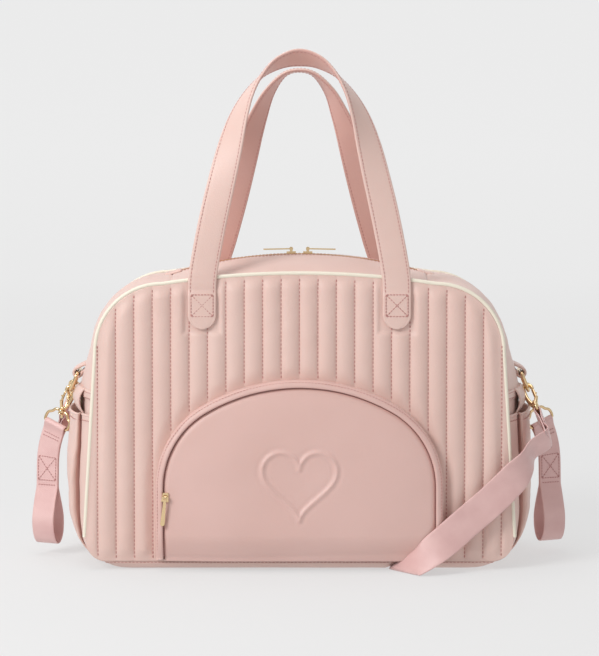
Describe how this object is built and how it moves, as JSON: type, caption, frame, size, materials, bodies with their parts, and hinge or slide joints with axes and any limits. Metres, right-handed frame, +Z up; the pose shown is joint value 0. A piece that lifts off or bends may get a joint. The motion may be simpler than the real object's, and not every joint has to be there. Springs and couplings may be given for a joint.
{
  "type": "changing bag",
  "caption": "Arched soft changing bag with a zipped mouth, half-moon zipped front pocket, open side pockets, carrying handles, clip-on shoulder strap and pram straps",
  "frame": {"origin": "middle of the base, on the floor it stands on", "axes": "+X to the right seen from the front, +Z up, the front faces -Y"},
  "size_m": [0.5228, 0.2348, 0.4931],
  "materials": {
    "leather": "smooth quilted faux leather",
    "piping": "cream piping",
    "webbing": "satin webbing",
    "lining": "woven lining",
    "gold": "polished pale gold",
    "board": "moulded stiffener"
  },
  "bodies": {
    "bag": {"front_panel": "leather", "back_panel": "leather", "top_seam_front": "leather", "top_seam_rear": "leather", "base_panel": "leather", "pocket_gusset": "leather", "pocket_front": "leather", "side_gusset_left": "leather", "shoulder_gusset_left": "leather", "seam_band_left": "leather", "bottle_pocket_left": "leather", "ring_tab_left": "leather", "front_handle_tab_left": "leather", "rear_handle_tab_left": "leather", "side_gusset_right": "leather", "shoulder_gusset_right": "leather", "seam_band_right": "leather", "bottle_pocket_right": "leather", "ring_tab_right": "leather", "front_handle_tab_right": "leather", "rear_handle_tab_right": "leather", "front_piping": "piping", "back_piping": "piping", "base_board": "board", "lining": "lining", "pocket_zip_outer": "gold", "pocket_zip_inner": "gold", "shoulder_strap": "webbing"},
    "mouth_front": {"mouth_flap_front": "leather", "zip_tape_front": "gold"},
    "mouth_rear": {"mouth_flap_rear": "leather", "zip_tape_rear": "gold"},
    "top_slider_left": {"zip_slider_left": "gold"},
    "top_pull_left": {"zip_pull_left": "gold"},
    "side_ring_left": {"d_ring_left": "gold"},
    "pram_hook_left": {"pram_clasp_left": "gold"},
    "pram_latch_left": {"pram_gate_left": "gold"},
    "pram_loop_left": {"pram_ring_left": "gold", "pram_strap_left": "webbing"},
    "shoulder_hook_left": {"shoulder_clasp_left": "gold"},
    "shoulder_latch_left": {"shoulder_gate_left": "gold"},
    "shoulder_end_left": {"shoulder_ring_left": "gold", "strap_end_left": "webbing"},
    "top_slider_right": {"zip_slider_right": "gold"},
    "top_pull_right": {"zip_pull_right": "gold"},
    "side_ring_right": {"d_ring_right": "gold"},
    "pram_hook_right": {"pram_clasp_right": "gold"},
    "pram_latch_right": {"pram_gate_right": "gold"},
    "pram_loop_right": {"pram_ring_right": "gold", "pram_strap_right": "webbing"},
    "shoulder_hook_right": {"shoulder_clasp_right": "gold"},
    "shoulder_latch_right": {"shoulder_gate_right": "gold"},
    "shoulder_end_right": {"shoulder_ring_right": "gold", "strap_end_right": "webbing"},
    "pocket_runner": {"pocket_slider": "gold"},
    "pocket_tag": {"pocket_pull": "gold"},
    "handle_front": {"front_handle": "leather"},
    "handle_rear": {"rear_handle": "leather"},
    "keeper": {"strap_keeper": "gold"}
  },
  "joints": [
    {"name": "handle_front_swing", "type": "hinge", "parent": "bag", "child": "handle_front", "pos_m": [0, -0.0756, 0.2648], "axis": [1, 0, 0], "range_deg": [0, 150]},
    {"name": "handle_rear_swing", "type": "hinge", "parent": "bag", "child": "handle_rear", "pos_m": [0, 0.0756, 0.2648], "axis": [-1, 0, 0], "range_deg": [0, 150]},
    {"name": "mouth_front_open", "type": "hinge", "parent": "bag", "child": "mouth_front", "pos_m": [0, -0.0633, 0.2832], "axis": [1, 0, 0], "range_deg": [0, 70]},
    {"name": "mouth_rear_open", "type": "hinge", "parent": "bag", "child": "mouth_rear", "pos_m": [0, 0.0633, 0.2832], "axis": [-1, 0, 0], "range_deg": [0, 70]},
    {"name": "top_slider_left_travel", "type": "hinge", "parent": "bag", "child": "top_slider_left", "pos_m": [0, 0, -0.1255], "axis": [0, -1, 0], "range_deg": [0, 14]},
    {"name": "top_pull_left_swing", "type": "hinge", "parent": "top_slider_left", "child": "top_pull_left", "pos_m": [-0.00809, 0, 0.29957], "axis": [0, 1, 0], "range_deg": [0, 95]},
    {"name": "side_ring_left_swing", "type": "hinge", "parent": "bag", "child": "side_ring_left", "pos_m": [-0.215, 0, 0.18], "axis": [0, 1, 0], "range_deg": [0, 20]},
    {"name": "pram_hook_left_swing", "type": "hinge", "parent": "side_ring_left", "child": "pram_hook_left", "pos_m": [-0.22212, -0.008, 0.16238], "axis": [0, 1, 0], "range_deg": [0, 60]},
    {"name": "pram_latch_left_spring", "type": "hinge", "parent": "pram_hook_left", "child": "pram_latch_left", "pos_m": [-0.23132, -0.008, 0.15203], "axis": [0, 1, 0], "range_deg": [0, 20], "stiffness_Nm_per_rad": 0.01, "springref_deg": -17.19},
    {"name": "pram_loop_left_swivel", "type": "hinge", "parent": "pram_hook_left", "child": "pram_loop_left", "pos_m": [-0.22212, -0.008, 0.16238], "axis": [-0.4067, 0, -0.9136], "range_deg": [-8, 12]},
    {"name": "shoulder_hook_left_swing", "type": "hinge", "parent": "side_ring_left", "child": "shoulder_hook_left", "pos_m": [-0.22102, 0.01757, 0.1651], "axis": [0.2649, 0.7071, 0.6556], "range_deg": [0, 15]},
    {"name": "shoulder_latch_left_spring", "type": "hinge", "parent": "shoulder_hook_left", "child": "shoulder_latch_left", "pos_m": [-0.22841, 0.0269, 0.15802], "axis": [0.2649, 0.7071, 0.6556], "range_deg": [0, 20], "stiffness_Nm_per_rad": 0.01, "springref_deg": -17.19},
    {"name": "shoulder_end_left_swivel", "type": "hinge", "parent": "shoulder_hook_left", "child": "shoulder_end_left", "pos_m": [-0.22102, 0.01757, 0.1651], "axis": [-0.2649, 0.7071, -0.6556], "range_deg": [-10, 10]},
    {"name": "top_slider_right_travel", "type": "hinge", "parent": "bag", "child": "top_slider_right", "pos_m": [0, 0, -0.1255], "axis": [0, 1, 0], "range_deg": [0, 14]},
    {"name": "top_pull_right_swing", "type": "hinge", "parent": "top_slider_right", "child": "top_pull_right", "pos_m": [0.00809, 0, 0.29957], "axis": [0, -1, 0], "range_deg": [0, 95]},
    {"name": "side_ring_right_swing", "type": "hinge", "parent": "bag", "child": "side_ring_right", "pos_m": [0.215, 0, 0.18], "axis": [0, -1, 0], "range_deg": [0, 20]},
    {"name": "pram_hook_right_swing", "type": "hinge", "parent": "side_ring_right", "child": "pram_hook_right", "pos_m": [0.22212, 0.008, 0.16238], "axis": [0, -1, 0], "range_deg": [0, 60]},
    {"name": "pram_latch_right_spring", "type": "hinge", "parent": "pram_hook_right", "child": "pram_latch_right", "pos_m": [0.23132, 0.008, 0.15203], "axis": [0, -1, 0], "range_deg": [0, 20], "stiffness_Nm_per_rad": 0.01, "springref_deg": -17.19},
    {"name": "pram_loop_right_swivel", "type": "hinge", "parent": "pram_hook_right", "child": "pram_loop_right", "pos_m": [0.22212, 0.008, 0.16238], "axis": [0.4067, 0, -0.9136], "range_deg": [-12, 8]},
    {"name": "shoulder_hook_right_swing", "type": "hinge", "parent": "side_ring_right", "child": "shoulder_hook_right", "pos_m": [0.22102, -0.01757, 0.1651], "axis": [-0.2649, -0.7071, 0.6556], "range_deg": [0, 15]},
    {"name": "shoulder_latch_right_spring", "type": "hinge", "parent": "shoulder_hook_right", "child": "shoulder_latch_right", "pos_m": [0.22841, -0.0269, 0.15802], "axis": [-0.2649, -0.7071, 0.6556], "range_deg": [0, 20], "stiffness_Nm_per_rad": 0.01, "springref_deg": -17.19},
    {"name": "shoulder_end_right_swivel", "type": "hinge", "parent": "shoulder_hook_right", "child": "shoulder_end_right", "pos_m": [0.22102, -0.01757, 0.1651], "axis": [0.2649, -0.7071, -0.6556], "range_deg": [-10, 10]},
    {"name": "pocket_runner_travel", "type": "hinge", "parent": "bag", "child": "pocket_runner", "pos_m": [-0.047, -0.09498, 0.08], "axis": [0, 0.9982, -0.0599], "range_deg": [0, 64]},
    {"name": "pocket_tag_swing", "type": "hinge", "parent": "pocket_runner", "child": "pocket_tag", "pos_m": [-0.12656, -0.09968, 0.07164], "axis": [-0.9945, 0, 0.1045], "range_deg": [0, 150]},
    {"name": "keeper_slide", "type": "slide", "parent": "bag", "child": "keeper", "axis": [-0.9736, -0.0182, 0.2275], "range_m": [-0.05, 0.14]}
  ]
}
